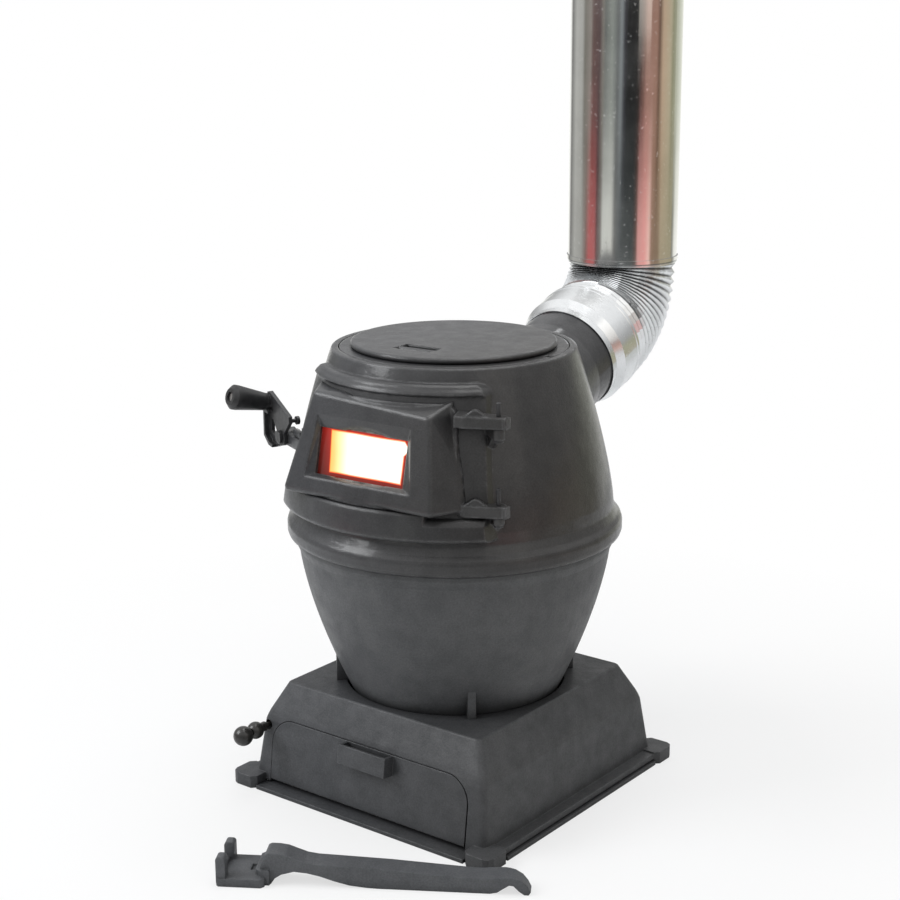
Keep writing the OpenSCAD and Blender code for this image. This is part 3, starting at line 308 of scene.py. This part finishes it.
def fire_glass(name):
    """Heat-proof glass with the glow of the fire behind it painted on as emission: white heart, red rim.
    """
    material, t = new_material(name)
    place = t.object_place()
    wobble = t.math("MULTIPLY", t.math("SUBTRACT", t.noise(place, 38.0, 2.0, 0.5), 0.5), 0.0010)
    across, _, up = t.split(t.turned(place, -DRUM_TURN))
    x = t.math("ADD", across, wobble)
    z = t.math("ADD", up, wobble)

    height = t.grey(z, 0.0, 1.0, *WINDOW_Z)
    from_left = t.math("ADD", x, t.math("ADD", GLOW_LEFT, t.math("MULTIPLY", height, GLOW_LEAN)))
    step = t.math("MULTIPLY", t.grey(z, 0.0, 1.0, *GLOW_STEP_Z), GLOW_STEP)
    corner = t.math("MULTIPLY", t.math("MAXIMUM", 0.0, t.math("SUBTRACT", z, GLOW_CORNER_Z)), 0.9)
    right_edge = t.math("SUBTRACT", t.math("ADD", GLOW_RIGHT, step), corner)
    from_right = t.math("SUBTRACT", right_edge, x)
    from_top = t.math("SUBTRACT", GLOW_TOP, z)
    from_low = t.math("SUBTRACT", z, GLOW_LOW)
    inside_across = t.math("MINIMUM", from_left, from_right)
    inside_up = t.math("MINIMUM", from_top, from_low)
    inside = t.math("MINIMUM", inside_across, inside_up)
    core = t.math("ADD", t.math("DIVIDE", inside, GLOW_SOFT), 0.5, clamp=True)

    heart = t.grey(t.math("ADD", from_left, t.math("MULTIPLY", wobble, 3.0)), 0.0, 1.0, 0.002, 0.024)
    near = t.math("DIVIDE", t.math("ADD", from_left, DIM_REACH), DIM_WIDTH, clamp=True)
    ember = t.ramp(near, EMBER)
    ember = t.mix(t.math("SUBTRACT", 1.0, height), ember, t.times(ember, (0.45, 0.45, 0.45)))
    heat = t.mix(t.grey(core, 0.0, 1.0, 0.05, 0.35), ember, t.ramp(core, RIM))
    heat = t.mix(t.grey(core, 0.0, 1.0, 0.45, 0.95), heat, t.ramp(heart, FIRE))

    glass = {"Base Color": (0.03, 0.02, 0.015, 1.0), "Roughness": 0.08, "Emission Strength": 1.25}
    shader = t.principled(glass)
    t.link(heat, shader.inputs["Emission Color"])
    t.link(t.bump(t.noise(place, 60.0, 2.0, 0.5), 0.05, 0.0004), shader.inputs["Normal"])
    return material


# ---------------------------------------------------------------- one material for each slot of the record
# The right-side multiplier in each look is painted shade, darker and warmer towards the stove's right side
IRON = {
    # Edge colours in these looks are partly rubbed wear and partly painted highlight
    "base_iron": dict(dark=(0.042, 0.044, 0.048), light=(0.060, 0.062, 0.067), wear_and_highlight=(0.17, 0.17, 0.175),
                      wear_and_highlight_amount=0.45, rough=(0.48, 0.66), grain=0.8, right_shade=(0.93, 0.90, 0.84), edge=0.0014,
                      coat=0.10),
    "pot_iron": dict(dark=(0.058, 0.060, 0.064), light=(0.078, 0.080, 0.084), wear_and_highlight=(0.16, 0.16, 0.165),
                     wear_and_highlight_amount=0.35, rough=(0.46, 0.60), grain=0.7, right_shade=(0.95, 0.93, 0.88), edge=0.002,
                     coat=0.05),
    "drum_iron": dict(dark=(0.034, 0.035, 0.038), light=(0.052, 0.053, 0.057), wear_and_highlight=(0.20, 0.20, 0.205),
                      wear_and_highlight_amount=0.65, rough=(0.38, 0.56), right_shade=(0.56, 0.49, 0.39), edge=0.0036, coat=0.55,
                      gloss=0.22),
    "latch_iron": dict(dark=(0.020, 0.020, 0.021), light=(0.034, 0.034, 0.036), wear_and_highlight=(0.16, 0.16, 0.17),
                       wear_and_highlight_amount=0.7, rough=(0.34, 0.52), grain=0.7, edge=0.0012, coat=0.15),
    "knob_iron": dict(dark=(0.012, 0.011, 0.010), light=(0.024, 0.022, 0.020), wear_and_highlight=(0.12, 0.12, 0.11),
                      wear_and_highlight_amount=0.4, rough=(0.26, 0.40), grain=0.6, edge=0.0012, coat=0.35),
    "lifter_iron": dict(dark=(0.066, 0.069, 0.074), light=(0.092, 0.095, 0.101), wear_and_highlight=(0.20, 0.21, 0.22),
                        wear_and_highlight_amount=0.5, rough=(0.42, 0.60), grain=0.9),
}
SHEET = {
    "plain_steel": dict(dark=(0.30, 0.29, 0.28), light=(0.46, 0.45, 0.44), rough=0.30,
                        marks=(0.12, 0.09, 0.07), marks_amount=0.5, streak=0.15, dent=0.05),
    "pan_zinc": dict(dark=(0.48, 0.50, 0.52), light=(0.62, 0.64, 0.66), rough=0.34,
                     marks=(0.22, 0.20, 0.18), marks_amount=0.5, spangle=0.30, streak=0.10, dent=0.25),
    # The elbow's fold amount is painted shade in its pleats
    "elbow_zinc": dict(dark=(0.74, 0.76, 0.77), light=(0.84, 0.85, 0.86), rough=0.16,
                       marks=(0.45, 0.45, 0.46), marks_amount=0.12, spangle=0.03, streak=0.03, dent=0.12,
                       fold_shade=0.60),
    "pipe_stainless": dict(dark=(0.66, 0.66, 0.655), light=(0.74, 0.74, 0.735), rough=0.035,
                           marks=(0.86, 0.86, 0.86), marks_amount=0.6, streak=0.06, dent=0.05),
}
MATERIAL = {name: cast_iron(name, **look) for name, look in IRON.items()}
MATERIAL.update({name: sheet_metal(name, **look) for name, look in SHEET.items()})
MATERIAL["seal_rope"] = rope("seal_rope")
MATERIAL["fire_glass"] = fire_glass("fire_glass")
MATERIAL["grip_black"] = plastic("grip_black")

SLOT_OF = {part["node"]: part["material_slot"] for part in frame["record"]["subparts"]}
for name, piece in NODE.items():
    piece.data.materials.clear()
    piece.data.materials.append(MATERIAL[SLOT_OF[name]])


# ---------------------------------------------------------------- floor
FLOOR_HALF = 1.5
# A hair below the stove's feet, so that the two faces don't coincide
FLOOR_Z = -0.0003


def floor_material():
    """Pale floor that fades to white for the camera, away from the stove's shadow."""
    material, t = new_material("floor_pale")
    place = t.object_place()
    pale = t.add("ShaderNodeBsdfDiffuse")
    tint = t.ramp(t.noise(place, 3.0, 2.0), [(0.0, (0.80, 0.80, 0.80)), (1.0, (0.84, 0.84, 0.84))])
    t.link(tint, pale.inputs[0])
    white = t.add("ShaderNodeEmission", inputs={"Color": (1, 1, 1, 1), "Strength": 1.0})
    distance = t.add("ShaderNodeVectorMath", operation="LENGTH")
    t.link(place, distance.inputs[0])
    fade = t.grey(distance.outputs["Value"], 0.66, 1.0, 0.38, 0.85)
    camera_ray = t.add("ShaderNodeLightPath").outputs["Is Camera Ray"]
    blend = t.add("ShaderNodeMixShader")
    t.link(t.math("MULTIPLY", camera_ray, fade), blend.inputs[0])
    t.link(pale.outputs[0], blend.inputs[1])
    t.link(white.outputs[0], blend.inputs[2])
    t.link(blend.outputs[0], t.add("ShaderNodeOutputMaterial").inputs[0])
    return material


grid = bmesh.new()
bmesh.ops.create_grid(grid, x_segments=1, y_segments=1, size=FLOOR_HALF)
floor_mesh = bpy.data.meshes.new("floor")
grid.to_mesh(floor_mesh)
grid.free()
floor = bpy.data.objects.new("floor", floor_mesh)
bpy.context.scene.collection.objects.link(floor)
floor.location = (0.0, 0.0, FLOOR_Z)
floor.data.materials.append(floor_material())

# ---------------------------------------------------------------- world
# Strips of the room that bright metal shows, by compass bearing (0 and 1 both look along -X)
ROOM_BELOW = [
    (0.000, (0.51, 0.51, 0.48)),
    (0.070, (0.44, 0.44, 0.41)),
    (0.105, (0.26, 0.15, 0.13)),
    (0.130, (0.62, 0.12, 0.12)),
    (0.168, (0.60, 0.13, 0.13)),
    (0.180, (0.13, 0.05, 0.05)),
    (0.207, (0.26, 0.25, 0.23)),
    (0.218, (0.95, 0.96, 0.90)),
    (0.272, (0.92, 0.92, 0.86)),
    (0.287, (0.23, 0.23, 0.22)),
    (0.315, (0.07, 0.08, 0.08)),
    (0.395, (0.05, 0.06, 0.06)),
    (0.416, (0.17, 0.09, 0.07)),
    (0.427, (1.00, 0.48, 0.44)),
    (0.468, (1.15, 0.48, 0.45)),
    (0.495, (1.26, 0.80, 0.70)),
    (0.510, (0.36, 0.23, 0.15)),
    (0.560, (0.30, 0.21, 0.13)),
    (0.577, (0.50, 0.42, 0.28)),
    (0.672, (0.44, 0.39, 0.26)),
    (0.693, (0.15, 0.14, 0.10)),
    (0.720, (1.08, 1.08, 1.02)),
    (0.900, (1.20, 1.20, 1.16)),
    (0.940, (0.22, 0.22, 0.21)),
    (1.000, (0.51, 0.51, 0.48)),
]
ROOM_LEVEL = [
    (0.000, (0.58, 0.58, 0.55)),
    (0.060, (0.51, 0.51, 0.48)),
    (0.080, (0.23, 0.22, 0.19)),
    (0.125, (0.34, 0.31, 0.28)),
    (0.140, (0.15, 0.10, 0.09)),
    (0.188, (0.12, 0.08, 0.08)),
    (0.206, (0.27, 0.25, 0.22)),
    (0.220, (0.17, 0.18, 0.17)),
    (0.260, (0.32, 0.35, 0.32)),
    (0.294, (0.17, 0.18, 0.18)),
    (0.314, (0.31, 0.34, 0.35)),
    (0.330, (0.06, 0.06, 0.07)),
    (0.350, (0.02, 0.02, 0.02)),
    (0.418, (0.02, 0.02, 0.02)),
    (0.443, (0.15, 0.08, 0.06)),
    (0.460, (0.38, 0.22, 0.17)),
    (0.520, (0.44, 0.25, 0.19)),
    (0.540, (0.17, 0.10, 0.07)),
    (0.565, (0.63, 0.46, 0.32)),
    (0.626, (0.57, 0.50, 0.35)),
    (0.652, (0.34, 0.34, 0.22)),
    (0.726, (0.75, 0.77, 0.65)),
    (0.900, (1.20, 1.20, 1.16)),
    (0.940, (0.22, 0.22, 0.21)),
    (1.000, (0.58, 0.58, 0.55)),
]
ROOM_CEILING = [(0.0, (0.34, 0.34, 0.34)), (0.25, (0.50, 0.50, 0.50)), (0.6, (1.0, 1.0, 1.0))]
ROOM_GROUND = (0.62, 0.63, 0.62)
# Where one part of the room gives way to the next, by the direction's Z: first value and width
GROUND_TO_STRIPS = (-0.200, 0.040)
BELOW_TO_LEVEL = (-0.142, 0.085)
# The same for the ceiling, but first and last value
STRIPS_TO_CEILING = (0.005, 0.10)


def room_colour(t):
    """Ground, strips of wall and ceiling, by the direction looked in."""
    x, y, z = t.split(t.add("ShaderNodeTexCoord").outputs["Generated"])
    bearing = t.math("DIVIDE", t.math("ADD", t.math("ARCTAN2", y, x), math.pi), 2 * math.pi)

    def climb(change):
        first, width = change
        return t.math("DIVIDE", t.math("ADD", z, -first), width, clamp=True)

    strips = t.mix(climb(BELOW_TO_LEVEL), t.ramp(bearing, ROOM_BELOW), t.ramp(bearing, ROOM_LEVEL))
    strips = t.mix(climb(GROUND_TO_STRIPS), ROOM_GROUND, strips)
    return t.mix(t.grey(z, 0.0, 1.0, *STRIPS_TO_CEILING), strips, t.ramp(z, ROOM_CEILING))


def make_world():
    """Soft plain light, the room for reflections, plain white for the camera."""
    world = bpy.data.worlds.new("studio")
    bpy.context.scene.world = world
    t = Tree(world)
    ray = t.add("ShaderNodeLightPath").outputs
    plain = t.add("ShaderNodeBackground", inputs={"Color": (0.97, 0.985, 1.0, 1), "Strength": 0.58})
    white = t.add("ShaderNodeBackground", inputs={"Color": (1, 1, 1, 1), "Strength": 1.0})
    room = t.add("ShaderNodeBackground", inputs={"Strength": 1.0})
    t.link(room_colour(t), room.inputs["Color"])
    lit = t.add("ShaderNodeMixShader")
    t.link(ray["Is Glossy Ray"], lit.inputs[0])
    t.link(plain.outputs[0], lit.inputs[1])
    t.link(room.outputs[0], lit.inputs[2])
    seen = t.add("ShaderNodeMixShader")
    t.link(t.math("MAXIMUM", ray["Is Camera Ray"], ray["Is Transmission Ray"]), seen.inputs[0])
    t.link(lit.outputs[0], seen.inputs[1])
    t.link(white.outputs[0], seen.inputs[2])
    t.link(seen.outputs[0], t.add("ShaderNodeOutputWorld").inputs[0])


make_world()


# ---------------------------------------------------------------- lights
def area_light(name, place, target, size, power, colour=(1, 1, 1)):
    light = bpy.data.lights.new(name, "AREA")
    light.shape = "RECTANGLE"
    light.size, light.size_y = size
    light.energy = power
    light.color = colour
    holder = bpy.data.objects.new(name, light)
    bpy.context.scene.collection.objects.link(holder)
    holder.location = place
    holder.rotation_euler = (Vector(target) - Vector(place)).to_track_quat("-Z", "Y").to_euler()


area_light("key", (-1.7, -1.9, 2.1), (0, 0, 0.25), (1.5, 1.5), 54.0, (0.97, 0.985, 1.0))
area_light("fill", (2.4, -0.6, 1.5), (0, 0, 0.3), (1.4, 1.8), 3.5, (1.0, 0.93, 0.84))
area_light("top", (0.1, 0.4, 2.6), (0, 0, 0.3), (1.5, 1.5), 24.0)

# ---------------------------------------------------------------- camera, as fitted to the photo
CAMERA_PLACE = (1.05152, -1.36536, 0.79821)
CAMERA_BEARING = math.radians(37.753)
CAMERA_DOWN = math.radians(14.541)
CAMERA_ROLL = math.radians(-0.304)
CAMERA_LENS = 69.884
CAMERA_SENSOR = 36.0
CAMERA_FAR = 50.0

back = Vector((
    math.sin(CAMERA_BEARING) * math.cos(CAMERA_DOWN),
    -math.cos(CAMERA_BEARING) * math.cos(CAMERA_DOWN),
    math.sin(CAMERA_DOWN)))
level_right = Vector((math.cos(CAMERA_BEARING), math.sin(CAMERA_BEARING), 0.0))
level_up = back.cross(level_right)
right = level_right * math.cos(CAMERA_ROLL) + level_up * math.sin(CAMERA_ROLL)
top = -level_right * math.sin(CAMERA_ROLL) + level_up * math.cos(CAMERA_ROLL)

camera = bpy.data.cameras.new("camera")
camera.sensor_width = CAMERA_SENSOR
camera.lens = CAMERA_LENS
camera.clip_end = CAMERA_FAR
camera_holder = bpy.data.objects.new("camera", camera)
bpy.context.scene.collection.objects.link(camera_holder)
camera_holder.matrix_world = Matrix((
    (right.x, top.x, back.x, CAMERA_PLACE[0]),
    (right.y, top.y, back.y, CAMERA_PLACE[1]),
    (right.z, top.z, back.z, CAMERA_PLACE[2]),
    (0.0, 0.0, 0.0, 1.0)))
bpy.context.scene.camera = camera_holder
bpy.context.scene.view_settings.view_transform = "Standard"
